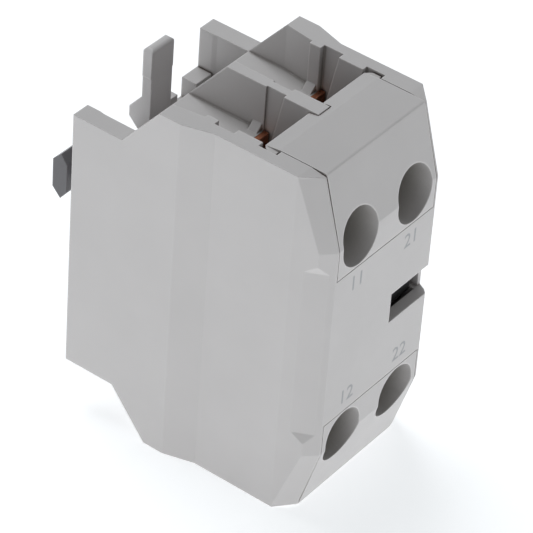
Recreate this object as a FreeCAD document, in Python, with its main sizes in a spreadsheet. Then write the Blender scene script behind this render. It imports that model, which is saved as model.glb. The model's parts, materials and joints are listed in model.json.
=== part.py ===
"""Two-pole auxiliary contact block that clips on the front of a contactor.

The model is drawn about the middle of the rear seat: X to the right seen from
the front, Y towards the contactor, Z up. Each finished piece is then placed so
that the block stands on its lower side with the origin under its middle.
"""
import FreeCAD, Part
import math
import os
import re

import Sketcher

Vector = FreeCAD.Vector
Rotation = FreeCAD.Rotation
Placement = FreeCAD.Placement

doc = FreeCAD.newDocument("auxiliary_contact_block")

SIZES = {
    # outer form of the housing
    "body_width": (27.0, "width at the rear flanges"),
    "front_width": (24.5, "width in front of the side ramps"),
    "face_width": (20.06, "width of the flat front face"),
    "body_height": (51.4, "height over the decks"),
    "body_depth": (37.3, "rear seat to front face"),
    "flange_height": (38.3, "height of the rear flanges"),
    "flange_depth": (7.5, "depth of the rear flanges"),
    "deck_start": (12.95, "seat to the rear end of the deck"),
    "ramp_start": (16.0, "seat to the start of the side ramp"),
    "ramp_end": (20.2, "seat to the end of the side ramp"),
    "taper_start": (32.3, "seat to the start of the side taper"),
    "deck_end": (34.55, "seat to the front edge of the deck"),
    "deck_dip": (0.3, "fall of the wall tops ahead of the taper"),
    "face_height": (31.4, "height of the flat front face"),
    "side_taper": (0.91, "narrowing of each side to the front"),
    "grip_height": (24.9, "height of the finger grip facets"),
    "grip_inset": (0.54, "front edge of the grip facets up the bevel"),
    "grip_slope": (2.5, "outward slope of the grip ends"),
    # walls and floors of the housing
    "flange_wall": (2.55, "flange thickness"),
    "lip_depth": (2.0, "depth of the thicker flange lip"),
    "lip_rise": (0.12, "extra thickness of the flange lip"),
    "lip_slope": (0.7, "length of the slope behind the flange lip"),
    "pocket_wall": (2.5, "side wall of the wire pockets at their rear"),
    "pocket_draft": (0.6, "extra wall thickness at the guide rib"),
    "rib_start": (17.25, "seat to the rear face of the guide ribs"),
    "rib_rise": (0.55, "height of the guide ribs over the wall"),
    "groove_width": (2.85, "width of the terminal groove at the deck"),
    "groove_foot": (1.6, "width of the terminal groove at the pocket floor"),
    "groove_depth": (0.95, "depth of the terminal groove in the side wall"),
    "chamber_outer": (4.3, "screw axis to the outer side of its chamber"),
    "chamber_inner": (4.35, "screw axis to the inner side of its chamber"),
    "partition": (1.6, "thickness of the middle wall"),
    "partition_groove": (1.1, "middle wall between the grooves"),
    "floor_thick": (1.3, "thickness of the pocket floors"),
    "shelf_top": (10.6, "top of the shelf under each terminal chamber"),
    "shelf_thick": (1.5, "thickness of the shelves"),
    "rear_wall": (1.2, "thickness of the rear wall"),
    "front_wall": (1.55, "thickness of the front wall"),
    "opening_inset": (1.65, "side of the rear opening inside the plate's side"),
    "opening_half_height": (8.6, "half height of the rear wall opening"),
    "guide_start": (21.8, "seat to the guide wall"),
    "guide_thick": (1.4, "thickness of the guide wall"),
    "gusset_length": (1.35, "length of the gussets on the pocket floors"),
    "gusset_gap": (0.25, "gussets to the terminal groove"),
    "gusset_height": (1.0, "height of the gussets"),
    # front window
    "window_left": (2.4, "left edge of the window"),
    "window_low": (2.4, "lower edge under the middle"),
    "window_high": (2.05, "upper edge over the middle"),
    "window_room": (0.7, "extra width of the room behind the window"),
    # terminal covers
    "cover_start": (25.6, "seat to the rear edge of the covers"),
    "cover_thick": (1.5, "wall of the covers"),
    "cover_lead": (2.1, "length of the lowered rear strip"),
    "cover_bend_low": (0.23, "inner lower bend under the outer one"),
    "cover_bend_high": (1.14, "inner upper bend behind the outer one"),
    "cover_drop": (0.3, "fall of the rear strip"),
    "cover_round": (0.3, "rounding of the front deck edge"),
    "tab_reach": (0.75, "reach of the corner tabs into the walls"),
    "tab_chamfer": (0.75, "chamfer of the corner tabs"),
    "tab_gap": (0.3, "gap ahead of and behind the corner tabs"),
    "seam": (0.1, "gap round the covers"),
    "seam_height": (11.2, "height of the cover seam over the middle"),
    "notch_depth": (1.25, "depth of the notch for the middle wall"),
    "notch_left": (0.05, "gap left of the middle wall in its notch"),
    "notch_right": (0.32, "gap right of the middle wall in its notch"),
    "hole_pitch": (10.9, "distance between the screwdriver holes"),
    "hole_width": (6.9, "width of the screwdriver holes"),
    "hole_height": (7.8, "height of the screwdriver holes"),
    "hole_level": (15.45, "height of the hole centres over the middle"),
    "tube_wall": (0.9, "wall of the screwdriver tubes"),
    "tube_end": (27.4, "seat to the rear end of the tubes"),
    # rear base between the flanges
    "fit_gap": (0.05, "gap of snapped pieces"),
    "plate_thick": (2.3, "thickness of the rear plate"),
    "plate_height": (26.7, "height of the rear plate"),
    "plate_notch_width": (15.3, "width of the plate notches"),
    "plate_notch_level": (10.45, "foot of the plate notches"),
    "web_inset": (1.05, "side webs inside the plate's side"),
    "web_thick": (1.6, "thickness of the side webs"),
    "ear_thick": (1.4, "thickness of the latch ears"),
    "hub_gap": (0.4, "gap under the hub in the plate's slot"),
    "rib_gap": (0.2, "gap between the latch slot and the guide beside it"),
    "rib_width": (1.3, "width of the guide beside the latch"),
    "rib_top": (13.8, "top of the guide beside the latch"),
    # release latch
    "latch_width": (4.2, "width of the latch"),
    "latch_rear": (1.3, "seat to the rear face of the latch"),
    "latch_thick": (1.4, "thickness of the latch"),
    "latch_top": (23.65, "top of the latch over the middle"),
    "latch_step": (19.4, "foot of the wider grip"),
    "latch_flare": (0.1, "extra half width of the grip"),
    "latch_round": (0.55, "rounding of the grip"),
    "latch_side_gap": (0.3, "gap beside the latch"),
    "nose_lead": (0.5, "flat under the nose behind the latch"),
    "nose_reach": (1.85, "reach of the nose behind the latch"),
    "nose_top": (16.25, "top of the nose"),
    "nose_high": (14.0, "upper edge of the nose face"),
    "nose_low": (12.5, "lower edge of the nose face"),
    "nose_foot": (11.15, "foot of the nose"),
    "pivot_level": (5.6, "height of the latch axis"),
    "pivot_front": (3.0, "seat to the latch axis"),
    "pin_radius": (0.75, "radius of the latch pin"),
    "pin_gap": (0.04, "running gap of the latch pin"),
    "hub_radius": (1.6, "radius of the latch hub"),
    "latch_spring_level": (10.3, "height of the latch spring"),
    "latch_spring_radius": (1.35, "mean radius of the latch spring"),
    "boss_radius": (0.95, "radius of the spring bosses"),
    "boss_height": (0.9, "height of the spring bosses"),
    # contact carrier
    "hook_width": (8.8, "width of the coupling head"),
    "hook_start": (8.1, "seat to the front of the coupling head"),
    "hook_mid": (9.1, "seat to the tips of the coupling head"),
    "hook_end": (10.4, "seat to the rear of the coupling head"),
    "hook_height": (7.0, "height over the tips of the head"),
    "hook_face": (4.3, "height of the flat faces of the head"),
    "stem": (3.4, "width and height of the carrier stem"),
    "slide_gap": (0.15, "gap round the carrier stem"),
    "travel": (3.6, "travel of the carrier"),
    "bar_thick": (1.2, "thickness of the carrier cross bars"),
    "bar_side": (1.1, "carrier frame outside a bridge"),
    "bar_height": (4.8, "height of the carrier frame"),
    "window_gap": (0.25, "gap beside a bridge in its frame"),
    "stop_gap": (0.2, "running gap behind the carrier at full travel"),
    "overtravel": (0.5, "lost travel before a bridge is lifted"),
    "cap_end": (35.2, "seat to the front of the carrier cap"),
    "cap_thick": (1.2, "thickness of the carrier cap"),
    "cap_radius": (4.2, "radius of the carrier cap"),
    "flag_gap": (0.3, "gap between the flag and the side wall"),
    "flag_height": (5.0, "height of the flag"),
    "spigot": (2.4, "width and height of the stem's spigot"),
    # contacts
    "terminal_plane": (18.93, "seat to the rear face of the terminals"),
    "terminal_thick": (0.7, "thickness of the terminals"),
    "tongue_width": (4.4, "width of the contact tongues"),
    "tongue_end": (3.6, "lower end of the contact tongues"),
    "tip_level": (5.4, "height of the contact tips"),
    "tip_radius": (1.5, "radius of the contact tips"),
    "tip_thick": (0.65, "thickness of the contact tips"),
    "contact_gap": (0.04, "gap drawn between closed tips"),
    "bridge_width": (3.8, "width of a contact bridge"),
    "bridge_height": (13.6, "length of a contact bridge"),
    "bridge_thick": (0.6, "thickness of a contact bridge"),
    "contact_spring_radius": (1.3, "mean radius of a contact spring"),
    # screws and clamps
    "screw_radius": (1.75, "radius of the terminal screws"),
    "screw_head_radius": (3.1, "radius of the screw heads"),
    "screw_head_height": (2.1, "height of the screw heads"),
    "screw_end": (15.6, "seat to the end of the screws"),
    "burr_radius": (2.3, "radius of the threaded burrs"),
    "burr_height": (1.2, "height of the threaded burrs"),
    "groove_gap": (0.1, "gap beside the terminals in their grooves"),
    "thread_gap": (0.05, "play of the screws in their burrs"),
    "wire_gap": (2.9, "room for the wire under the clamp"),
    "clamp_width": (7.4, "width of the clamp plates"),
    "clamp_height": (6.4, "height of the clamp plates"),
    "clamp_thick": (1.0, "thickness of the clamp plates"),
    "recess_width": (0.9, "width of the screw head slots"),
    "recess_length": (4.2, "length of the screw head slots"),
    "recess_depth": (1.1, "depth of the screw head slots"),
    # springs
    "return_spring_radius": (3.0, "mean radius of the return spring"),
    "return_spring_wire": (0.25, "wire radius of the return spring"),
    "small_spring_wire": (0.17, "wire radius of the small springs"),
    # drawing aids, which no finished face shows
    "past": (2.0, "how far a cutting shape runs past the face it cuts"),
    "bite": (0.2, "how far joined shapes run into each other"),
    "trim": (8.0, "reach of the shapes that trim the front corners"),
}

dim = doc.addObject("Spreadsheet::Sheet", "dim")
for row, (alias, (value, note)) in enumerate(SIZES.items(), start=1):
    dim.set("A%d" % row, note)
    dim.set("B%d" % row, str(value))
    dim.setAlias("B%d" % row, alias)
doc.recompute()

WORDS = re.compile(r"\b(" + "|".join(SIZES) + r")\b")

# Named places, written once from the sizes above
SIDE = "(body_width / 2)"
TOP = "(body_height / 2)"
FRONT = "(-body_depth)"
FLOOR = "(flange_height / 2)"
FACE_TOP = "(face_height / 2)"
POCKET_REAR = "(-flange_depth)"
LIP_SIDE = "(body_width / 2 - flange_wall - lip_rise)"
FLANGE_SIDE = "(body_width / 2 - flange_wall)"
RIB_SIDE = "(body_width / 2 - pocket_wall - pocket_draft - rib_rise)"
CHAMBER_SIDE = "(hole_pitch / 2 + chamber_outer)"
PARTITION_SIDE = "(hole_pitch / 2 - chamber_inner)"
INNER_SIDE = "(hole_pitch / 2 + chamber_outer + fit_gap)"
CAVITY_REAR = "(-flange_depth - rear_wall)"
CAVITY_FRONT = "(-body_depth + front_wall)"
CAVITY_TOP = "(shelf_top - shelf_thick)"
PARTITION_END = "(-cover_start - notch_depth)"
POLE = "(hole_pitch / 2)"
GROOVE_REAR = "(-terminal_plane + fit_gap)"
PLATE_REAR = "(-terminal_plane)"
PLATE_FRONT = "(-terminal_plane - terminal_thick)"
CLAMP_REAR = "(-terminal_plane - terminal_thick - wire_gap)"
CLAMP_FRONT = "(-terminal_plane - terminal_thick - wire_gap - clamp_thick)"
HEAD_FRONT = CLAMP_FRONT[:-1] + " - screw_head_height)"
COVER_SIDE = "(hole_pitch / 2 + chamber_outer - seam)"
SEAM_FOOT = "(seam_height + seam)"
MOVING_TIP_FRONT = "(-terminal_plane + tip_thick + contact_gap)"
BRIDGE_FRONT = "(-terminal_plane + 2 * tip_thick + contact_gap)"
BRIDGE_REAR = BRIDGE_FRONT[:-1] + " + bridge_thick)"
BAR_REAR = "(-flange_depth - rear_wall - travel - stop_gap)"
BAR_FRONT = BAR_REAR[:-1] + " - bar_thick)"
STOP_REAR = BRIDGE_FRONT[:-1] + " - overtravel)"
STOP_FRONT = STOP_REAR[:-1] + " - bar_thick)"
GUIDE_REAR = "(-guide_start)"
GUIDE_FRONT = "(-guide_start - guide_thick)"
BAR_SIDE = "(hole_pitch / 2 + bridge_width / 2 + window_gap + bar_side)"
CAP_REAR = "(-cap_end + cap_thick)"
LATCH_REAR = "(-latch_rear)"
LATCH_FRONT = "(-latch_rear - latch_thick)"
PLATE_SIDE = "(body_width / 2 - flange_wall - lip_rise - 2 * fit_gap)"
WEB_OUTER = PLATE_SIDE[:-1] + " - web_inset)"
OPENING_SIDE = PLATE_SIDE[:-1] + " - opening_inset)"
LATCH_SIDE = "(latch_width / 2 + latch_side_gap)"
NEAR = 0.05   # how near to its named place an edge is found
COIL_STEPS = 12   # flat steps in one turn of a drawn coil
WIRE_CORNERS = 6   # corners of a drawn coil's wire
GRIP_DIRECTION = Vector(1, 2, 0)   # the grip facets run two back for one out

PLANES = {
    "X": Rotation(Vector(1, 1, 1), 120),
    "Y": Rotation(Vector(1, 0, 0), 90),
    "Z": Rotation(),
}


def bind(text):
    """Write a size expression with its sheet names."""
    return WORDS.sub(r"dim.\1", str(text))


def number(text):
    """Work out a size expression as a plain number."""
    return float(dim.evalExpression(bind(text)))


def place(obj, x=None, y=None, z=None):
    """Bind an object's position to size expressions."""
    for axis, text in (("x", x), ("y", y), ("z", z)):
        if text is not None:
            obj.setExpression("Placement.Base." + axis, bind(text))
    return obj


def block(name, low, high):
    """A box between two corners."""
    box = doc.addObject("Part::Box", name)
    for side, first, last in zip(("Length", "Width", "Height"), low, high):
        box.setExpression(side, bind("(%s) - (%s)" % (last, first)))
    return place(box, *low)


def outline(name, points, rotation):
    """A closed sketch through points, each coordinate bound to the sheet."""
    sketch = doc.addObject("Sketcher::SketchObject", name + "_outline")
    sketch.Placement = Placement(Vector(), rotation)
    corners = [Vector(number(u), number(v), 0) for u, v in points]
    count = len(corners)
    for index, corner in enumerate(corners):
        sketch.addGeometry(Part.LineSegment(corner, corners[(index + 1) % count]))
    for index in range(count):
        joint = Sketcher.Constraint("Coincident", index, 2, (index + 1) % count, 1)
        sketch.addConstraint(joint)
    for index, (u, v) in enumerate(points):
        for kind, text in (("DistanceX", u), ("DistanceY", v)):
            size = Sketcher.Constraint(kind, -1, 1, index, 1, number(text))
            place_in_list = sketch.addConstraint(size)
            sketch.setExpression("Constraints[%d]" % place_in_list, bind(text))
    return sketch


def prism(name, axis, points, start, end):
    """An outline pushed along X, Y or Z from start to end.

    Outline coordinates are (Y, Z) along X, (X, Z) along Y and (X, Y) along Z.
    """
    solid = doc.addObject("Part::Extrusion", name)
    solid.Base = outline(name, points, PLANES[axis])
    solid.DirMode = "Normal"
    solid.Solid = True
    solid.setExpression("LengthFwd", bind("(%s) - (%s)" % (end, start)))
    if axis == "Y":
        return place(solid, y=end)
    return place(solid, **{axis.lower(): start})


def rod(name, axis, radius, at, length):
    """A cylinder along X or Y, towards the right or the rear."""
    bar = doc.addObject("Part::Cylinder", name)
    turn = {"X": Rotation(Vector(0, 1, 0), 90), "Y": Rotation(Vector(1, 0, 0), -90)}
    bar.Placement = Placement(Vector(), turn[axis])
    bar.setExpression("Radius", bind(radius))
    bar.setExpression("Height", bind(length))
    return place(bar, *at)


def fuse(name, shapes):
    """Join shapes into one solid."""
    joined = doc.addObject("Part::MultiFuse", name)
    joined.Shapes = shapes
    joined.Refine = True
    return joined


def group(name, shapes):
    """Keep like solids apart in one named piece."""
    kept = doc.addObject("Part::Compound", name)
    kept.Links = shapes
    return kept


def cut(name, base, tools):
    """Take one or more shapes away from another."""
    carved = doc.addObject("Part::Cut", name)
    carved.Base = base
    carved.Tool = tools[0] if len(tools) == 1 else fuse(name + "_tools", tools)
    carved.Refine = True
    return carved


def common(name, first, second):
    """The space that two shapes share."""
    shared = doc.addObject("Part::Common", name)
    shared.Base = first
    shared.Tool = second
    shared.Refine = True
    return shared


def mirrored(name, source, normal):
    """A mirror image about one of the middle planes."""
    image = doc.addObject("Part::Mirroring", name)
    image.Source = source
    image.Normal = normal
    return image


def both(name, source, normal):
    """A shape and its mirror image."""
    return [source, mirrored(name, source, normal)]


ACROSS = Vector(1, 0, 0)
UP = Vector(0, 0, 1)


def flipped(points):
    """The mirror image of a half outline, so that the two close to one."""
    return [(u, "-(%s)" % v) for u, v in reversed(points)]


def cover_profile():
    """Side view of the cover's outer skin, flat deck to front seam."""
    return [
        ("-cover_start", "%s - cover_drop" % TOP),
        ("-cover_start - cover_lead", TOP),
        ("-deck_end", TOP),
        (FRONT, FACE_TOP),
        (FRONT, SEAM_FOOT),
    ]


def side_profile():
    """Side view of the walls: flange, slant, deck, chamfer and front face."""
    upper = [
        ("0", FLOOR),
        (POCKET_REAR, FLOOR),
        ("-deck_start", TOP),
        ("-taper_start", TOP),
        ("-deck_end", "%s - deck_dip" % TOP),
        (FRONT, FACE_TOP),
    ]
    return upper + flipped(upper)


def plan_profile():
    """Plan view of the walls: straight flanges, ramps and front tapers."""
    right = [
        (SIDE, "0"),
        (SIDE, "-ramp_start"),
        ("front_width / 2", "-ramp_end"),
        ("front_width / 2", "-taper_start"),
        ("front_width / 2 - side_taper", FRONT),
    ]
    return right + [("-(%s)" % u, v) for u, v in reversed(right)]


def front_bevels():
    """Air beside the front corners, cut at 45 degrees along the side outline."""
    outer = "%s + trim" % TOP
    air = [
        ("-deck_end", "%s - deck_dip" % TOP),
        (FRONT, FACE_TOP),
        (FRONT, "-" + FACE_TOP),
        ("-deck_end", "-(%s - deck_dip)" % TOP),
        ("-deck_end", "-(%s)" % outer),
        ("-body_depth - trim", "-(%s)" % outer),
        ("-body_depth - trim", outer),
        ("-deck_end", outer),
    ]
    bevel = prism("front_bevel", "X", air, "0", "trim")
    bevel.DirMode = "Custom"
    bevel.Dir = Vector(1, 1, 0)
    place(bevel, x="face_width / 2")
    return both("front_bevel_left", bevel, ACROSS)


def grip_facets():
    """Shallow facets with sloping ends on the upright front corners."""
    reach = "past"
    trapezoid = [
        ("0", "-grip_height / 2"),
        (reach, "-grip_height / 2 - grip_slope * " + reach),
        (reach, "grip_height / 2 + grip_slope * " + reach),
        ("0", "grip_height / 2"),
    ]
    facet = prism("grip_facet", "Y", trapezoid, "0", "trim")
    facet.DirMode = "Custom"
    facet.Dir = GRIP_DIRECTION
    facet.setExpression("LengthRev", bind("past"))
    place(facet, x="face_width / 2 + grip_inset", y="-body_depth + grip_inset")
    return both("grip_facet_left", facet, ACROSS)


def quarter_spaces():
    """Everything hollow in the upper right quarter of the housing."""
    over = "%s + past" % TOP
    pocket = prism("pocket", "Z", [
        ("partition / 2", POCKET_REAR + " + past"),
        ("partition / 2", GROOVE_REAR),
        (RIB_SIDE, GROOVE_REAR),
        (RIB_SIDE, "-rib_start"),
        ("body_width / 2 - pocket_wall - pocket_draft", "-rib_start"),
        ("body_width / 2 - pocket_wall", "-deck_start"),
        ("body_width / 2 - pocket_wall", POCKET_REAR + " + past"),
    ], FLOOR, over)
    groove = prism("terminal_groove", "X", [
        (GROOVE_REAR, "shelf_top"),
        (GROOVE_REAR, over),
        ("%s - groove_width" % GROOVE_REAR, over),
        ("%s - groove_width" % GROOVE_REAR, TOP),
        ("%s - groove_foot" % GROOVE_REAR, FLOOR),
        ("%s - terminal_thick - 4 * fit_gap" % GROOVE_REAR, "shelf_top"),
    ], "partition_groove / 2", CHAMBER_SIDE + " + groove_depth")
    chamber = block("terminal_chamber",
                    (PARTITION_SIDE, PARTITION_END, "shelf_top"),
                    (CHAMBER_SIDE, GROOVE_REAR, over))
    under_floor = block("under_floor",
                        ("partition / 2", GROOVE_REAR, CAVITY_TOP + " - bite"),
                        (INNER_SIDE, CAVITY_REAR, FLOOR + " - floor_thick"))
    recess = block("tab_recess",
                   (CHAMBER_SIDE + " - bite", "-cover_start - cover_lead - tab_gap",
                    TOP + " - cover_thick - seam"),
                   (CHAMBER_SIDE + " + tab_reach + seam", "-cover_start + tab_gap", over))
    slot = block("tongue_slot",
                 (POLE + " - tongue_width / 2 - slide_gap", PLATE_FRONT + " - fit_gap",
                  CAVITY_TOP + " - bite"),
                 (POLE + " + tongue_width / 2 + slide_gap", GROOVE_REAR, "shelf_top + bite"))
    return [pocket, groove, chamber, under_floor, recess, slot]


def middle_spaces():
    """Hollows that run across the middle wall, upper half."""
    over = "%s + past" % TOP
    under_cover = block("under_cover",
                        ("-" + CHAMBER_SIDE, CAVITY_FRONT, "shelf_top"),
                        (CHAMBER_SIDE, PARTITION_END, over))
    cover_front = block("cover_front",
                        ("-" + CHAMBER_SIDE, FRONT + " - past", "seam_height"),
                        (CHAMBER_SIDE, CAVITY_FRONT + " + bite", over))
    return [under_cover, cover_front]


def centre_spaces():
    """Hollows about the middle: mechanism, rear opening, guide and window."""
    rear = block("rear_chamber",
                 ("-" + INNER_SIDE, GUIDE_REAR, "-" + CAVITY_TOP),
                 (INNER_SIDE, CAVITY_REAR, CAVITY_TOP))
    front = block("front_chamber",
                  ("-" + INNER_SIDE, CAVITY_FRONT, "-" + CAVITY_TOP),
                  (INNER_SIDE, GUIDE_FRONT, CAVITY_TOP))
    opening = block("rear_opening",
                    ("-" + OPENING_SIDE, CAVITY_REAR + " - bite", "-opening_half_height"),
                    (OPENING_SIDE, POCKET_REAR + " + bite", "opening_half_height"))
    guide = block("guide_hole",
                  ("-stem / 2 - slide_gap", GUIDE_FRONT + " - bite", "-stem / 2 - slide_gap"),
                  ("stem / 2 + slide_gap", GUIDE_REAR + " + bite", "stem / 2 + slide_gap"))
    window = block("window",
                   ("window_left", FRONT + " - past", "-window_low"),
                   (SIDE, CAVITY_FRONT, "window_high"))
    room = block("window_room",
                 (INNER_SIDE + " - bite", CAVITY_FRONT, "-window_low"),
                 (INNER_SIDE + " + window_room", GUIDE_FRONT, "window_high"))
    lips = [
        (LIP_SIDE, "past"),
        (LIP_SIDE, "-lip_depth"),
        (FLANGE_SIDE, "-lip_depth - lip_slope"),
        (FLANGE_SIDE, POCKET_REAR),
    ]
    gap = prism("flange_gap", "Z", lips + [("-(%s)" % u, v) for u, v in reversed(lips)],
                "-%s - past" % FLOOR, FLOOR + " + past")
    return [rear, front, opening, guide, window, room, gap]


def gussets():
    """Small fillers on a pocket floor against the middle wall and the rib."""
    start = GROOVE_REAR + " + gusset_gap"
    inner = prism("gusset", "Y", [
        ("partition / 2 - bite", FLOOR + " - bite"),
        ("partition / 2 + gusset_height", FLOOR + " - bite"),
        ("partition / 2 + gusset_height", FLOOR),
        ("partition / 2", FLOOR + " + gusset_height"),
        ("partition / 2 - bite", FLOOR + " + gusset_height"),
    ], start, start + " + gusset_length")
    outer = prism("rib_gusset", "Y", [
        (RIB_SIDE + " + bite", FLOOR + " - bite"),
        (RIB_SIDE + " + bite", FLOOR + " + gusset_height"),
        (RIB_SIDE, FLOOR + " + gusset_height"),
        (RIB_SIDE + " - gusset_height", FLOOR),
        (RIB_SIDE + " - gusset_height", FLOOR + " - bite"),
    ], start, start + " + gusset_length")
    return [inner, outer]


def rounded(name, base, radius, wanted):
    """Round the edges that the test picks by their middle point and direction."""
    doc.recompute()
    picked = []
    for index, edge in enumerate(base.Shape.Edges, start=1):
        if wanted(edge, edge.CenterOfMass):
            picked.append((index, number(radius), number(radius)))
    fillet = doc.addObject("Part::Fillet", name)
    fillet.Base = base
    fillet.Edges = picked
    return fillet


def coil(name, radius, wire, start, end, turns, x, z):
    """A coil spring between two depths, its axis along Y, in flat facets."""
    mean, thin = number(radius), number(wire)
    first, last = number(start) + thin, number(end) - thin
    steps = round(COIL_STEPS * turns)
    corners = round(WIRE_CORNERS)
    rings = []
    for step in range(steps + 1):
        angle = 2 * math.pi * turns * step / steps
        level = first + (last - first) * step / steps
        ring = []
        for corner in range(corners):
            turn = 2 * math.pi * corner / corners
            reach = mean + thin * math.cos(turn)
            ring.append(Vector(reach * math.cos(angle), level + thin * math.sin(turn),
                               reach * math.sin(angle)))
        rings.append(ring)
    faces = [Part.Face(Part.makePolygon(ring + ring[:1])) for ring in (rings[0], rings[-1])]
    for low, high in zip(rings, rings[1:]):
        for corner in range(corners):
            after = (corner + 1) % corners
            for patch in ((low[corner], low[after], high[after]),
                          (low[corner], high[after], high[corner])):
                faces.append(Part.Face(Part.makePolygon(patch + patch[:1])))
    solid = Part.Solid(Part.Shell(faces))
    if solid.Volume < 0:
        solid.reverse()
    spring = doc.addObject("Part::Feature", name)
    spring.Shape = solid
    return place(spring, x=x, z=z)


def make_housing():
    """The moulded body with its pockets, chambers, shelves and window."""
    side = prism("side_form", "X", side_profile(), "-" + SIDE, SIDE)
    plan = prism("plan_form", "Z", plan_profile(), "-" + TOP, TOP)
    form = common("outer_form", side, plan)
    quarter = fuse("quarter_spaces", quarter_spaces())
    upper = fuse("upper_spaces", both("left_spaces", quarter, ACROSS) + middle_spaces())
    spaces = both("lower_spaces", upper, UP) + centre_spaces()
    shell = cut("hollow_form", form, front_bevels() + grip_facets() + spaces)
    corner = fuse("corner_gussets", gussets())
    pair = fuse("upper_gussets", both("left_gussets", corner, ACROSS))
    boss = rod("housing_boss", "Y", "boss_radius",
               ("0", POCKET_REAR + " - bite", "latch_spring_level"), "boss_height + bite")
    return fuse("housing", [shell, boss] + both("lower_gussets", pair, UP))


def make_cover():
    """One terminal cover: bent plate, corner tabs and screwdriver tubes."""
    skin = cover_profile()
    inner = [
        ("-body_depth + cover_thick", SEAM_FOOT),
        ("-body_depth + cover_thick", FACE_TOP + " - cover_bend_low"),
        ("-deck_end + cover_bend_high", TOP + " - cover_thick"),
        ("-cover_start", TOP + " - cover_thick"),
    ]
    plate = prism("cover_plate", "X", skin + inner, "-" + COVER_SIDE, COVER_SIDE)
    soft = rounded("cover_plate_soft", plate, "cover_round",
                   lambda edge, middle: edge.Length > number(COVER_SIDE)
                   and abs(middle.y + number("deck_end")) < NEAR
                   and abs(middle.z - number(TOP)) < NEAR)
    corner = [
        (COVER_SIDE, "-cover_start"),
        (COVER_SIDE + " + tab_reach", "-cover_start - tab_chamfer"),
        (COVER_SIDE + " + tab_reach", "-cover_start - cover_lead + seam"),
        (COVER_SIDE, "-cover_start - cover_lead + seam"),
    ]
    tabs = prism("cover_tabs", "Z", corner + [("-(%s)" % u, v) for u, v in reversed(corner)],
                 TOP + " - cover_thick", TOP + " - cover_drop")
    inside = prism("tube_limits", "X", [
        ("-tube_end", SEAM_FOOT),
        ("-tube_end", TOP + " - tube_wall"),
        ("-deck_end", TOP + " - tube_wall"),
        (FRONT, FACE_TOP),
        (FRONT, SEAM_FOOT),
    ], "-" + COVER_SIDE, COVER_SIDE)
    tube = obround("tube_form", "tube_wall", FRONT + " - past", "-tube_end")
    tubes = common("tubes", inside, fuse("tube_pair", both("tube_left", tube, ACROSS)))
    body = fuse("cover_body", [soft, tabs, tubes])
    hole = obround("driver_hole", "0", FRONT + " - 2 * past", "-tube_end + past")
    notch = block("cover_notch",
                  ("-%s - notch_left" % PARTITION_SIDE, PARTITION_END + " - fit_gap",
                   TOP + " - cover_thick - past"),
                  (PARTITION_SIDE + " + notch_right", "-cover_start + past", TOP + " + past"))
    return cut("cover_upper", body, both("driver_hole_left", hole, ACROSS) + [notch])


def obround(name, grow, start, end):
    """A bar with half round ends above and below, about a screw axis."""
    radius = "(hole_width / 2 + %s)" % grow
    rise = "((hole_height - hole_width) / 2)"
    length = "(%s) - (%s)" % (end, start)
    high = rod(name + "_high", "Y", radius, (POLE, start, "hole_level + " + rise), length)
    low = rod(name + "_low", "Y", radius, (POLE, start, "hole_level - " + rise), length)
    middle = block(name + "_middle",
                   ("%s - %s" % (POLE, radius), start, "hole_level - " + rise),
                   ("%s + %s" % (POLE, radius), end, "hole_level + " + rise))
    return fuse(name, [high, low, middle])


def make_rear_base():
    """The moulded plate between the flanges with its webs and latch ears."""
    right = [
        (PLATE_SIDE, "-plate_height / 2"),
        (PLATE_SIDE, "plate_height / 2"),
        ("plate_notch_width / 2", "plate_height / 2"),
        ("plate_notch_width / 2", "plate_notch_level"),
    ]
    left = [("-(%s)" % u, v) for u, v in reversed(right[1:])]
    lower = [("-(%s)" % u, "-(%s)" % v) for u, v in right[1:]]
    lower_right = [(u, "-(%s)" % v) for u, v in reversed(right[2:])]
    plate = prism("rear_plate", "Y", right + left + lower + lower_right,
                  "-plate_thick", "0")
    closing = block("closing_plate",
                    ("-%s + fit_gap" % OPENING_SIDE, CAVITY_REAR,
                     "-opening_half_height + fit_gap"),
                    (OPENING_SIDE + " - fit_gap", POCKET_REAR + " + fit_gap",
                     "opening_half_height - fit_gap"))
    web = block("side_web",
                (WEB_OUTER + " - web_thick", POCKET_REAR, "-opening_half_height + 4 * fit_gap"),
                (WEB_OUTER, "-plate_thick", "opening_half_height - 4 * fit_gap"))
    ear = block("latch_ear",
                (LATCH_SIDE, "-pivot_front - hub_radius + bite", "pivot_level - hub_radius"),
                (LATCH_SIDE + " + ear_thick", "-plate_thick + bite",
                 "pivot_level + hub_radius"))
    rib = block("latch_guide",
                (LATCH_SIDE + " + rib_gap", "-plate_thick", "plate_notch_level - bite"),
                (LATCH_SIDE + " + rib_gap + rib_width", "0", "rib_top"))
    solid = fuse("rear_base_solid", [plate, closing, rib] + both("web_left", web, ACROSS)
                 + both("ear_left", ear, ACROSS))
    neck = block("neck_hole",
                 ("-stem / 2 - slide_gap", CAVITY_REAR + " - past", "-stem / 2 - slide_gap"),
                 ("stem / 2 + slide_gap", "past", "stem / 2 + slide_gap"))
    slot = block("latch_slot",
                 ("-" + LATCH_SIDE, "-plate_thick - bite", "pivot_level - hub_radius - hub_gap"),
                 (LATCH_SIDE, "past", "plate_notch_level + past"))
    axle = rod("ear_hole", "X", "pin_radius",
               ("-latch_width - past", "-pivot_front", "pivot_level"), "2 * latch_width + 2 * past")
    return cut("rear_base", solid, [neck, slot, axle])


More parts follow.
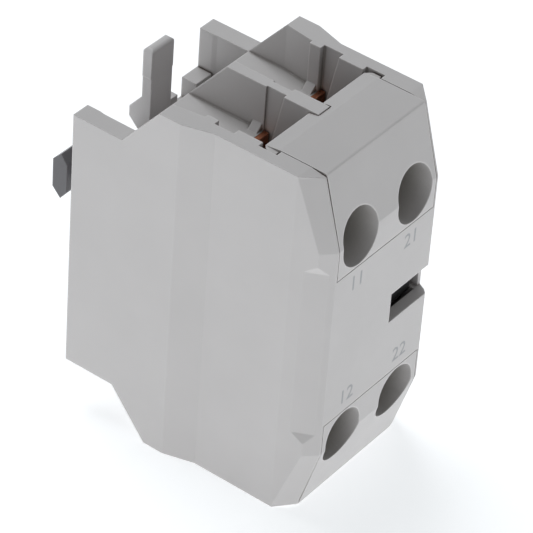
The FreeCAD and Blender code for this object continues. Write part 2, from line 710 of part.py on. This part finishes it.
def make_latch():
    """The release lever: hub, nose, grip and a boss for its spring."""
    lower_half = "latch_width / 2 - latch_flare"
    arm = prism("latch_arm", "X", [
        (LATCH_FRONT, "pivot_level"),
        (LATCH_REAR, "pivot_level"),
        (LATCH_REAR, "nose_foot"),
        (LATCH_REAR + " + nose_lead", "nose_foot"),
        (LATCH_REAR + " + nose_reach", "nose_low"),
        (LATCH_REAR + " + nose_reach", "nose_high"),
        (LATCH_REAR, "nose_top"),
        (LATCH_REAR, "latch_step + bite"),
        (LATCH_FRONT, "latch_step + bite"),
    ], "-(%s)" % lower_half, lower_half)
    grip = block("latch_grip",
                 ("-latch_width / 2", LATCH_FRONT, "latch_step"),
                 ("latch_width / 2", LATCH_REAR, "latch_top"))
    soft = rounded("latch_grip_soft", grip, "latch_round",
                   lambda edge, middle: middle.z > number("latch_top - fit_gap"))
    hub = rod("latch_hub", "X", "hub_radius",
              ("-(%s)" % lower_half, "-pivot_front", "pivot_level"), "2 * (%s)" % lower_half)
    boss = rod("latch_boss", "Y", "boss_radius",
               ("0", LATCH_FRONT + " - boss_height", "latch_spring_level"),
               "boss_height + bite")
    solid = fuse("latch_solid", [arm, soft, hub, boss])
    bore = rod("latch_bore", "X", "pin_radius + pin_gap",
               ("-latch_width", "-pivot_front", "pivot_level"), "2 * latch_width")
    return cut("release_latch", solid, [bore])


def make_carrier():
    """The sliding carrier: coupling head, stem, bridge frame and spigot."""
    rear = [
        ("hook_start", "-hook_face / 2"),
        ("hook_mid", "-hook_height / 2"),
        ("hook_end", "-hook_face / 2"),
        ("hook_end", "hook_face / 2"),
        ("hook_mid", "hook_height / 2"),
        ("hook_start", "hook_face / 2"),
    ]
    head = prism("coupling_head", "X", rear, "-hook_width / 2", "hook_width / 2")
    stem = block("carrier_stem",
                 ("-stem / 2", CAP_REAR, "-stem / 2"),
                 ("stem / 2", "hook_start + bite", "stem / 2"))
    frame = block("bridge_frame",
                  ("-" + BAR_SIDE, STOP_FRONT, "-bar_height / 2"),
                  (BAR_SIDE, BAR_REAR, "bar_height / 2"))
    spigot = block("carrier_spigot",
                   ("-spigot / 2", "-cap_end", "-spigot / 2"),
                   ("spigot / 2", CAP_REAR + " + bite", "spigot / 2"))
    solid = fuse("carrier_solid", [head, stem, frame, spigot])
    hole = block("bridge_window",
                 (POLE + " - bridge_width / 2 - window_gap", STOP_REAR, "-bar_height"),
                 (POLE + " + bridge_width / 2 + window_gap", BAR_FRONT, "bar_height"))
    return cut("contact_carrier", solid, both("bridge_window_left", hole, ACROSS))


def make_cap():
    """The front cap of the carrier with the flag behind the window."""
    disc = rod("cap_disc", "Y", "cap_radius", ("0", "-cap_end", "0"), "cap_thick")
    flag = block("cap_flag",
                 ("0", "-cap_end", "-flag_height / 2"),
                 (INNER_SIDE + " - flag_gap", CAP_REAR, "flag_height / 2"))
    solid = fuse("cap_solid", [disc, flag])
    hole = block("cap_hole",
                 ("-spigot / 2", "-cap_end - past", "-spigot / 2"),
                 ("spigot / 2", CAP_REAR + " + past", "spigot / 2"))
    return cut("carrier_cap", solid, [hole])


def make_terminal():
    """The upper right terminal: plate in its grooves, tongue and threaded burr."""
    plate = block("terminal_plate",
                  ("partition_groove / 2 + groove_gap", PLATE_FRONT, "shelf_top + fit_gap"),
                  (CHAMBER_SIDE + " + groove_depth - groove_gap", PLATE_REAR, FLOOR))
    tongue = block("terminal_tongue",
                   (POLE + " - tongue_width / 2", PLATE_FRONT, "tongue_end"),
                   (POLE + " + tongue_width / 2", PLATE_REAR, "shelf_top + bite"))
    burr = rod("terminal_burr", "Y", "burr_radius",
               (POLE, PLATE_REAR + " - bite", "hole_level"), "burr_height + bite")
    solid = fuse("terminal_solid", [plate, tongue, burr])
    bore = rod("terminal_bore", "Y", "screw_radius + thread_gap",
               (POLE, PLATE_FRONT + " - past", "hole_level"), "burr_height + 2 * past")
    return cut("terminal_upper_right", solid, [bore])


def make_screw():
    """One terminal screw with a slotted head, pointing to the rear."""
    shank = rod("screw_shank", "Y", "screw_radius",
                (POLE, CLAMP_FRONT, "hole_level"), "-(%s) - screw_end" % CLAMP_FRONT)
    head = rod("screw_head", "Y", "screw_head_radius",
               (POLE, HEAD_FRONT, "hole_level"), "screw_head_height")
    slot = block("screw_slot",
                 (POLE + " - recess_length / 2", HEAD_FRONT + " - past",
                  "hole_level - recess_width / 2"),
                 (POLE + " + recess_length / 2", HEAD_FRONT + " + recess_depth",
                  "hole_level + recess_width / 2"))
    return cut("screw", fuse("screw_solid", [shank, head]), [slot])


def make_clamp():
    """One clamp plate, held under a screw head."""
    plate = block("clamp_form",
                  (POLE + " - clamp_width / 2", CLAMP_FRONT, "hole_level - clamp_height / 2"),
                  (POLE + " + clamp_width / 2", CLAMP_REAR, "hole_level + clamp_height / 2"))
    hole = rod("clamp_hole", "Y", "screw_radius + 2 * thread_gap",
               (POLE, CLAMP_FRONT + " - past", "hole_level"), "clamp_thick + 2 * past")
    return cut("clamp_plate", plate, [hole])


def four(name, source):
    """The same solid at all four terminals."""
    left = mirrored(name + "_left", source, ACROSS)
    low_right = mirrored(name + "_low_right", source, UP)
    low_left = mirrored(name + "_low_left", left, UP)
    return group(name, [source, left, low_right, low_left])


def settled(obj):
    """Stand the finished piece on the lower side of the block."""
    if obj.TypeId in ("Part::Cylinder", "Part::Box", "Part::Feature"):
        obj = group(obj.Name + "_set", [obj])
    return place(obj, y="(body_depth - hook_end) / 2", z=TOP)


pieces = {}


def keep(name, obj):
    """Take an object as a finished piece and name it."""
    obj.Label = name
    pieces[name] = obj
    return obj


def keep_below(name, source):
    """The same piece turned over about the middle height."""
    image = mirrored(name, source, UP)
    image.setExpression("Base.z", bind(TOP))
    return keep(name, image)


keep("housing", settled(make_housing()))
cover = keep("terminal_cover_upper", settled(make_cover()))
keep_below("terminal_cover_lower", cover)
keep("rear_base", settled(make_rear_base()))
keep("release_latch", settled(make_latch()))
keep("latch_pin", settled(rod("latch_pin", "X", "pin_radius",
                              ("-%s - ear_thick" % LATCH_SIDE, "-pivot_front", "pivot_level"),
                              "2 * (%s + ear_thick)" % LATCH_SIDE)))
keep("contact_carrier", settled(make_carrier()))
keep("carrier_cap", settled(make_cap()))

terminal = keep("terminal_upper_right", settled(make_terminal()))
keep("terminal_upper_left", mirrored("terminal_upper_left", terminal, ACROSS))
keep_below("terminal_lower_right", terminal)
keep_below("terminal_lower_left", pieces["terminal_upper_left"])

fixed_tip = rod("fixed_tip", "Y", "tip_radius", (POLE, PLATE_REAR, "tip_level"), "tip_thick")
moving_tip = rod("moving_tip", "Y", "tip_radius", (POLE, MOVING_TIP_FRONT, "tip_level"),
                 "tip_thick")
bridge = block("bridge_form",
               (POLE + " - bridge_width / 2", BRIDGE_FRONT, "-bridge_height / 2"),
               (POLE + " + bridge_width / 2", BRIDGE_REAR, "bridge_height / 2"))
contact_spring = coil("contact_spring", "contact_spring_radius", "small_spring_wire",
                      BRIDGE_REAR, BAR_FRONT, 4, POLE, "0")

keep("fixed_contact_tips", settled(four("fixed_contact_tips", fixed_tip)))
right = keep("bridge_tips_right", settled(group("bridge_tips_right",
                                                both("moving_tip_low", moving_tip, UP))))
keep("bridge_tips_left", mirrored("bridge_tips_left", right, ACROSS))
right = keep("contact_bridge_right", settled(bridge))
keep("contact_bridge_left", mirrored("contact_bridge_left", right, ACROSS))
right = keep("contact_spring_right", settled(contact_spring))
keep("contact_spring_left", mirrored("contact_spring_left", right, ACROSS))

keep("return_spring", settled(
    coil("return_spring", "return_spring_radius", "return_spring_wire",
         CAP_REAR, GUIDE_FRONT, 7, "0", "0")))
keep("latch_spring", settled(
    coil("latch_spring", "latch_spring_radius", "small_spring_wire",
         POCKET_REAR, LATCH_FRONT, 4, "0", "latch_spring_level")))

keep("terminal_screws", settled(four("terminal_screws", make_screw())))
keep("clamp_plates", settled(four("clamp_plates", make_clamp())))

doc.recompute()

os.makedirs("parts", exist_ok=True)
for name, obj in pieces.items():
    for state in ("Invalid", "Error"):
        if state in obj.State:
            raise RuntimeError("%s is not sound: %s" % (name, obj.State))
    if obj.Shape.isNull() or not obj.Shape.isValid():
        raise RuntimeError("%s has no valid shape" % name)
    obj.Shape.exportStep("parts/%s.step" % name)
    FreeCAD.Console.PrintMessage("%s %.1f\n" % (name, obj.Shape.Volume))
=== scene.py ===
"""Two-pole auxiliary contact block on a white floor in soft studio light."""
import json
import math

import bmesh
import bpy
from mathutils import Matrix, Vector


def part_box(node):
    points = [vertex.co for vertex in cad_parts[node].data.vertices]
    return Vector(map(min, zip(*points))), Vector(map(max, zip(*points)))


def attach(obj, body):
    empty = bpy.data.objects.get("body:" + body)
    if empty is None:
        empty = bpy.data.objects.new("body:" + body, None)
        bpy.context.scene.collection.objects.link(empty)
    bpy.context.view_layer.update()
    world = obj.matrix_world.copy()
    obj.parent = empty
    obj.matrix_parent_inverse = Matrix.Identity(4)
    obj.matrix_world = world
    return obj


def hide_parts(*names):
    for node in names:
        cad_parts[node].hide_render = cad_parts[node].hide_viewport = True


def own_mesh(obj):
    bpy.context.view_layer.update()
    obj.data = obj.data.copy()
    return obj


MM = 0.001

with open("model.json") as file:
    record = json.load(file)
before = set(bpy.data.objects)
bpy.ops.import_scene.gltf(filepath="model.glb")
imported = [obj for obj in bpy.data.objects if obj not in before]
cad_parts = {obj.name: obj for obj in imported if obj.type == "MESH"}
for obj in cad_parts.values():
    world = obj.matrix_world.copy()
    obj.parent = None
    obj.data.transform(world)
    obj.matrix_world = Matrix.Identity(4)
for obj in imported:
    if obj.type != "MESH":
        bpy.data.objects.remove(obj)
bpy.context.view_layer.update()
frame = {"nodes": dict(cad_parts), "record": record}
nodes = frame["nodes"]
scene = bpy.context.scene

# Places on the block, in metres
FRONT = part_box("housing")[0].y
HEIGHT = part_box("housing")[1].z
MIDDLE = HEIGHT / 2
CENTRE = Vector((0, 0, MIDDLE))
POLE = 5.45 * MM

# Printed numbers: the side and the level of each on the front face, and their height and relief
NUMBERS = {"11": (-1, 1), "21": (1, 1), "12": (-1, -1), "22": (1, -1)}
NUMBER_UP = 8.9 * MM
NUMBER_SIZE = 3.0 * MM
INK = 0.008 * MM

# Round wire: its radius as a share of a wide and of a narrow coil's radius, and its facets
WIDE_COIL = 2.0 * MM
WIDE_COIL_WIRE = 0.077
NARROW_COIL_WIRE = 0.115
STEPS_PER_TURN = 24
WIRE_CORNERS = 10

# Viewing angle and framing of the photograph
CAMERA = {
    "azimuth": -55.0908,
    "elevation": 38.772,
    "roll": -4.3961,
    "distance": 447.44 * MM,
    "lens": 241.34,
    "sensor": 36.0,
    "aim": Vector((5.253, -3.206, 19.196)) * MM,
}

# Colours as they look in the photograph, in sRGB from 0 to 1
PLASTIC = (0.756, 0.743, 0.739)
LATCH = (0.775, 0.762, 0.760)
CARRIER = (0.37, 0.365, 0.375)
# The flag is near black, so it stands as painted shade in the window behind it
FLAG_AS_SHADE = (0.10, 0.10, 0.10)
# Painted shade in seams and narrow gaps between parts, a dark brown
SEAM_SHADE = (0.36, 0.31, 0.28)
COPPER = (0.88, 0.59, 0.46)
STEEL = (0.70, 0.70, 0.70)
SILVER = (0.88, 0.87, 0.84)
PRINT = (0.62, 0.62, 0.63)
FLOOR = (0.93, 0.93, 0.93)

# Painted shade deep inside a hole: how much of each channel is left there
HOLE_SHADE = (0.57, 0.56, 0.49)
# Painted highlight: how much lighter an edge is
EDGE_HIGHLIGHT = 1.15

# Painted highlight and painted shade on the plastic, by the open share of what a point sees within
# a reach in metres.
# The painted colour is full where the share is below low, and there is none where it is above
# high.
# Painted highlight along convex edges
PAINTED_EDGE_HIGHLIGHT = {"reach": 0.2 * MM, "low": 0.55, "high": 0.95, "inside": True}
# Painted shade deep in holes and recesses
PAINTED_HOLE_SHADE = {"reach": 8.0 * MM, "low": 0.12, "high": 0.50}
# Painted shade in seams and narrow gaps between parts
PAINTED_SEAM_SHADE = {"reach": 0.6 * MM, "low": 0.45, "high": 0.85, "local": False,
              "edge": 0.3 * MM, "over": 0.4 * MM}

# Radius of the softly rounded edges
SOFT_EDGE = 0.25 * MM
COVER_EDGE = 0.15 * MM

# Samples of the nodes that look at the surfaces around a point
NEAR_SAMPLES = 6

# Noise lies mostly between these two values
NOISE_LOW, NOISE_HIGH = 0.3, 0.7

# Noise scales of the plastic, of the metal and of the floor, per metre
CLOUDS, SHEEN, GRAIN = 90.0, 500.0, 6000.0
TARNISH, DRAWN, FINE_DRAWN = 700.0, 1500.0, 5000.0
FLOOR_CLOUDS = 3.0
# The metal's noise is squeezed along Z, so the drawn lines lie across it
DRAWN_SQUEEZE = (1, 1, 12)
GRAIN_DEPTH = 0.006 * MM
DRAWN_DEPTH = 0.003 * MM

# Light of the surroundings and of the floor, on the block and as the camera sees it
COOL = (0.967, 0.998, 1.02)
WORLD_LEVEL = 0.30
FLOOR_GLOW = 0.95
FLOOR_SEEN = 0.56

# The floor reaches this far and lies a hair under the block, so that no two faces coincide
FLOOR_REACH = 3.0
FLOOR_GAP = 0.02 * MM

# Square lamps: the place of each in metres and its power in watts
LAMP_SIZE = 0.4
LAMPS = {
    "top_lamp": ((0.1, 0.3, 0.7), 2.4),
    "left_lamp": ((-0.55, 0.3, 0.1), 0.17),
}

# Edges steeper than these, in degrees, stay sharp, and some pieces have creases that are shallower
CREASE = 30.0
COIL_CREASE = 60.0
CREASES = {
    "housing": 5.0,
    "terminal_cover_upper": 7.0,
    "terminal_cover_lower": 7.0,
    "rear_base": 12.0,
    "release_latch": 12.0,
}


def linear(colour):
    """An sRGB colour as the linear values that shaders take."""
    parts = [c / 12.92 if c <= 0.04045 else ((c + 0.055) / 1.055) ** 2.4 for c in colour]
    return (*parts, 1.0)


def shade(colour, factor):
    """The same colour, lighter or darker."""
    return tuple(min(1.0, c * factor) for c in colour)


def shaded_in_hole(colour):
    """Painted shade: the colour deep inside a hole, darker and warmer."""
    return tuple(c * factor for c, factor in zip(colour, HOLE_SHADE))


class Material:
    """A node material that is built step by step round one principled shader."""

    def __init__(self, name):
        self.data = bpy.data.materials.new(name)
        self.data.use_nodes = True
        self.nodes = self.data.node_tree.nodes
        self.links = self.data.node_tree.links
        self.shader = self.nodes["Principled BSDF"]
        self.place = self.node("ShaderNodeTexCoord").outputs["Object"]

    def node(self, kind, **settings):
        """A node with its settings and input values."""
        made = self.nodes.new(kind)
        for key, value in settings.items():
            if key in made.inputs:
                made.inputs[key].default_value = value
            else:
                setattr(made, key, value)
        return made

    def noise(self, scale, detail=3.0, squeeze=(1, 1, 1)):
        """Noise with features of 1 / scale metres, squeezed along an axis."""
        mapping = self.node("ShaderNodeMapping", Scale=squeeze)
        self.links.new(self.place, mapping.inputs["Vector"])
        noise = self.node("ShaderNodeTexNoise", Scale=scale, Detail=detail)
        self.links.new(mapping.outputs["Vector"], noise.inputs["Vector"])
        return noise.outputs["Fac"]

    def spread(self, value, first, last, low=0.0, high=1.0):
        """A value that goes from low to high while another goes from first to last."""
        made = self.node("ShaderNodeMapRange", **{
            "From Min": first, "From Max": last, "To Min": low, "To Max": high})
        self.links.new(value, made.inputs["Value"])
        return made.outputs["Result"]

    def ramp(self, noise, low=0.0, high=1.0):
        """Noise spread between two numbers."""
        return self.spread(noise, NOISE_LOW, NOISE_HIGH, low, high)

    def faded(self, value, over):
        """A value that fades out from twice a height down to that height."""
        split = self.node("ShaderNodeSeparateXYZ")
        self.links.new(self.place, split.inputs[0])
        both = self.node("ShaderNodeMath", operation="MULTIPLY")
        self.links.new(value, both.inputs[0])
        self.links.new(self.spread(split.outputs["Z"], over, 2 * over), both.inputs[1])
        return both.outputs[0]

    def rounded(self, edge):
        """Normals over edges that are rounded by a radius in metres."""
        return self.node("ShaderNodeBevel", samples=NEAR_SAMPLES, Radius=edge).outputs["Normal"]

    def colour(self, value, first, second):
        """A base colour that varies between two colours."""
        mix = self.node("ShaderNodeMix", data_type="RGBA")
        mix.inputs[6].default_value = linear(first)
        mix.inputs[7].default_value = linear(second)
        self.links.new(value, mix.inputs[0])
        self.links.new(mix.outputs[2], self.shader.inputs["Base Color"])

    def paint_light_and_shade(self, painted, reach, low, high, inside=False, local=True, edge=0.0, over=0.0):
        """Painted light and shade: another base colour, lighter or darker, where the surfaces
        within a reach close in.

        An edge radius widens it over the edges beside a gap. It fades out below the height
        over, so that the floor doesn't count as a surface.
        """
        near = self.node("ShaderNodeAmbientOcclusion", samples=NEAR_SAMPLES, inside=inside,
                         only_local=local, Distance=reach)
        if edge:
            self.links.new(self.rounded(edge), near.inputs["Normal"])
        share = self.spread(near.outputs["AO"], high, low)
        if over:
            share = self.faded(share, over)
        before = self.shader.inputs["Base Color"].links[0].from_socket
        mix = self.node("ShaderNodeMix", data_type="RGBA")
        self.links.new(share, mix.inputs[0])
        self.links.new(before, mix.inputs[6])
        mix.inputs[7].default_value = linear(painted)
        self.links.new(mix.outputs[2], self.shader.inputs["Base Color"])

    def rough(self, noise, low, high):
        """Roughness that varies between two numbers."""
        self.links.new(self.ramp(noise, low, high), self.shader.inputs["Roughness"])

    def bump(self, noise, depth, edge=0.0):
        """Relief of a depth in metres, over edges that are softly rounded."""
        bump = self.node("ShaderNodeBump", Distance=depth, Strength=1.0)
        self.links.new(noise, bump.inputs["Height"])
        if edge:
            self.links.new(self.rounded(edge), bump.inputs["Normal"])
        self.links.new(bump.outputs["Normal"], self.shader.inputs["Normal"])


def plastic(name, colour, roughness=0.5, edge=SOFT_EDGE):
    """Moulded plastic with a fine grain and faint clouding; where it has soft edges, a painted
    highlight on its edges and painted shade in holes and seams.
    """
    made = Material(name)
    made.colour(made.ramp(made.noise(CLOUDS, 4.0)), shade(colour, 0.99), shade(colour, 1.01))
    if edge:
        # Painted highlight on edges, painted shade deep in holes and painted shade in seams
        made.paint_light_and_shade(shade(colour, EDGE_HIGHLIGHT), **PAINTED_EDGE_HIGHLIGHT)
        made.paint_light_and_shade(shaded_in_hole(colour), **PAINTED_HOLE_SHADE)
        made.paint_light_and_shade(SEAM_SHADE, **PAINTED_SEAM_SHADE)
    made.rough(made.noise(SHEEN), roughness - 0.04, roughness + 0.04)
    made.bump(made.noise(GRAIN, 2.0), GRAIN_DEPTH, edge)
    made.shader.inputs["IOR"].default_value = 1.5
    made.shader.inputs["Specular IOR Level"].default_value = 0.35
    return made.data


def metal(name, colour, roughness):
    """Rolled or plated metal with fine drawn lines and a little tarnish."""
    made = Material(name)
    made.colour(made.ramp(made.noise(TARNISH, 5.0)), shade(colour, 0.88), colour)
    made.rough(made.noise(DRAWN, 3.0, DRAWN_SQUEEZE), roughness - 0.06, roughness + 0.08)
    made.bump(made.noise(FINE_DRAWN, 2.0, DRAWN_SQUEEZE), DRAWN_DEPTH)
    made.shader.inputs["Metallic"].default_value = 1.0
    return made.data


def dress(obj, material):
    """One material over a whole object."""
    obj.data.materials.clear()
    obj.data.materials.append(material)


def smooth(obj, angle):
    """Smooth shading across the edges that are shallower than an angle in degrees."""
    obj.data.shade_smooth()
    obj.data.set_sharp_from_angle(angle=math.radians(angle))


def mesh_object(name, bm):
    """A finished mesh as an object of the scene."""
    mesh = bpy.data.meshes.new(name)
    bm.to_mesh(mesh)
    bm.free()
    obj = bpy.data.objects.new(name, mesh)
    scene.collection.objects.link(obj)
    return obj


def wire_ring(bm, centre, out, reach, wire):
    """One ring of a round wire that winds round the Y axis through a centre."""
    ring = []
    for corner in range(WIRE_CORNERS):
        turn = 2 * math.pi * corner / WIRE_CORNERS
        across = out * (reach + wire * math.cos(turn))
        ring.append(bm.verts.new(centre + across + Vector((0, wire * math.sin(turn), 0))))
    return ring


def spring(name, node, body, turns):
    """A round wire coil along Y in the place of a faceted one."""
    low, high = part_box(node)
    middle = (low + high) / 2
    outer = (high.x - low.x) / 2
    wire = outer * (WIDE_COIL_WIRE if outer > WIDE_COIL else NARROW_COIL_WIRE)
    length = high.y - low.y - 2 * wire
    total = turns * STEPS_PER_TURN
    bm = bmesh.new()
    rings = []
    for step in range(total + 1):
        angle = 2 * math.pi * step / STEPS_PER_TURN
        out = Vector((math.cos(angle), 0, math.sin(angle)))
        centre = Vector((middle.x, low.y + wire + length * step / total, middle.z))
        rings.append(wire_ring(bm, centre, out, outer - wire, wire))
    for first, second in zip(rings, rings[1:]):
        for corner in range(WIRE_CORNERS):
            after = (corner + 1) % WIRE_CORNERS
            bm.faces.new((first[corner], first[after], second[after], second[corner]))
    bm.faces.new(rings[0])
    bm.faces.new(reversed(rings[-1]))
    bmesh.ops.recalc_face_normals(bm, faces=bm.faces)
    coil = mesh_object(name, bm)
    dress(coil, looks["spring_steel"])
    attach(coil, body)
    smooth(coil, COIL_CREASE)
    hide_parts(node)
    return coil


def compress(coil):
    """A coil that gets a mesh of its own."""
    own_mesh(coil)


def print_number(text, x, z):
    """A plain printed number on the front face."""
    name = "number_" + text
    curve = bpy.data.curves.new(name, "FONT")
    curve.body = text
    curve.size = NUMBER_SIZE
    curve.align_x = "CENTER"
    curve.align_y = "CENTER"
    curve.extrude = INK
    curve.resolution_u = 3
    curve.materials.append(looks["print"])
    obj = bpy.data.objects.new(name, curve)
    scene.collection.objects.link(obj)
    obj.rotation_euler = (math.radians(90), 0, 0)
    obj.location = (x, FRONT - INK / 2, z)
    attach(obj, "block")


def area_light(name, place, power):
    """A soft square lamp turned towards the middle of the block."""
    data = bpy.data.lights.new(name, "AREA")
    data.energy = power
    data.size = LAMP_SIZE
    data.color = COOL
    lamp = bpy.data.objects.new(name, data)
    lamp.location = place
    lamp.rotation_euler = (CENTRE - Vector(place)).to_track_quat("-Z", "Y").to_euler()
    scene.collection.objects.link(lamp)
    lamp.visible_camera = False


def make_camera():
    """The photograph's view."""
    azimuth = math.radians(CAMERA["azimuth"])
    elevation = math.radians(CAMERA["elevation"])
    roll = math.radians(CAMERA["roll"])
    back = Vector((math.sin(azimuth) * math.cos(elevation),
                   -math.cos(azimuth) * math.cos(elevation), math.sin(elevation)))
    level = (-back).cross(Vector((0, 0, 1))).normalized()
    plumb = (-back).cross(level)
    right = level * math.cos(roll) + plumb * math.sin(roll)
    down = plumb * math.cos(roll) - level * math.sin(roll)
    data = bpy.data.cameras.new("photo_camera")
    data.lens = CAMERA["lens"]
    data.sensor_width = CAMERA["sensor"]
    data.clip_start = 0.01
    data.clip_end = 10.0
    camera = bpy.data.objects.new("photo_camera", data)
    turned = Matrix((right, -down, back)).transposed().to_4x4()
    camera.matrix_world = Matrix.Translation(CAMERA["aim"] + back * CAMERA["distance"]) @ turned
    scene.collection.objects.link(camera)
    scene.camera = camera


def floor_paint():
    """White paint that glows evenly, less towards the camera than onto the block."""
    made = Material("floor_paint")
    made.colour(made.ramp(made.noise(FLOOR_CLOUDS)), shade(FLOOR, 0.995), FLOOR)
    made.shader.inputs["Roughness"].default_value = 0.9
    made.shader.inputs["Specular IOR Level"].default_value = 0.1
    made.shader.inputs["Emission Color"].default_value = (*COOL, 1)
    seen = made.node("ShaderNodeLightPath").outputs["Is Camera Ray"]
    glow = made.node("ShaderNodeMath", operation="MULTIPLY_ADD")
    made.links.new(seen, glow.inputs[0])
    glow.inputs[1].default_value = FLOOR_SEEN - FLOOR_GLOW
    glow.inputs[2].default_value = FLOOR_GLOW
    made.links.new(glow.outputs[0], made.shader.inputs["Emission Strength"])
    return made.data


def make_floor():
    """A white floor that keeps the block's shadow."""
    bm = bmesh.new()
    bmesh.ops.create_grid(bm, x_segments=1, y_segments=1, size=FLOOR_REACH)
    floor = mesh_object("floor", bm)
    floor.location.z = -FLOOR_GAP
    dress(floor, floor_paint())


def make_world():
    """Even surroundings, fully white where the camera or a mirror sees them."""
    world = bpy.data.worlds.new("studio")
    scene.world = world
    world.use_nodes = True
    tree = world.node_tree
    back = tree.nodes["Background"]
    rays = tree.nodes.new("ShaderNodeLightPath")
    seen = tree.nodes.new("ShaderNodeMath")
    seen.operation = "MAXIMUM"
    tree.links.new(rays.outputs["Is Camera Ray"], seen.inputs[0])
    tree.links.new(rays.outputs["Is Glossy Ray"], seen.inputs[1])
    spread = tree.nodes.new("ShaderNodeMapRange")
    spread.inputs["To Min"].default_value = WORLD_LEVEL
    spread.inputs["To Max"].default_value = 1.0
    tree.links.new(seen.outputs[0], spread.inputs["Value"])
    tree.links.new(spread.outputs["Result"], back.inputs["Strength"])
    back.inputs["Color"].default_value = (*COOL, 1)


looks = {
    "body_plastic": plastic("body_plastic", PLASTIC),
    "cover_plastic": plastic("cover_plastic", PLASTIC, edge=COVER_EDGE),
    "base_plastic": plastic("base_plastic", shade(PLASTIC, 0.98)),
    "latch_plastic": plastic("latch_plastic", LATCH, 0.42),
    "carrier_plastic": plastic("carrier_plastic", CARRIER, 0.4),
    "flag_plastic": plastic("flag_plastic", FLAG_AS_SHADE, 0.4),
    "copper": metal("copper", COPPER, 0.32),
    "steel": metal("steel", STEEL, 0.3),
    "silver": metal("silver", SILVER, 0.35),
    "spring_steel": metal("spring_steel", shade(STEEL, 0.85), 0.3),
    "print": plastic("print", PRINT, edge=0.0),
}

for part in frame["record"]["subparts"]:
    dress(nodes[part["node"]], looks[part["material_slot"]])
    smooth(nodes[part["node"]], CREASES.get(part["node"], CREASE))

return_coil = spring("return_coil", "return_spring", "block", 7)
compress(return_coil)
latch_coil = spring("latch_coil", "latch_spring", "block", 4)
compress(latch_coil)
spring("contact_coil_left", "contact_spring_left", "carrier", 4)
spring("contact_coil_right", "contact_spring_right", "carrier", 4)

for text, (side, level) in NUMBERS.items():
    print_number(text, side * POLE, MIDDLE + level * NUMBER_UP)

make_world()
make_floor()
make_camera()
for name, (place, power) in LAMPS.items():
    area_light(name, place, power)

scene.view_settings.view_transform = "Standard"
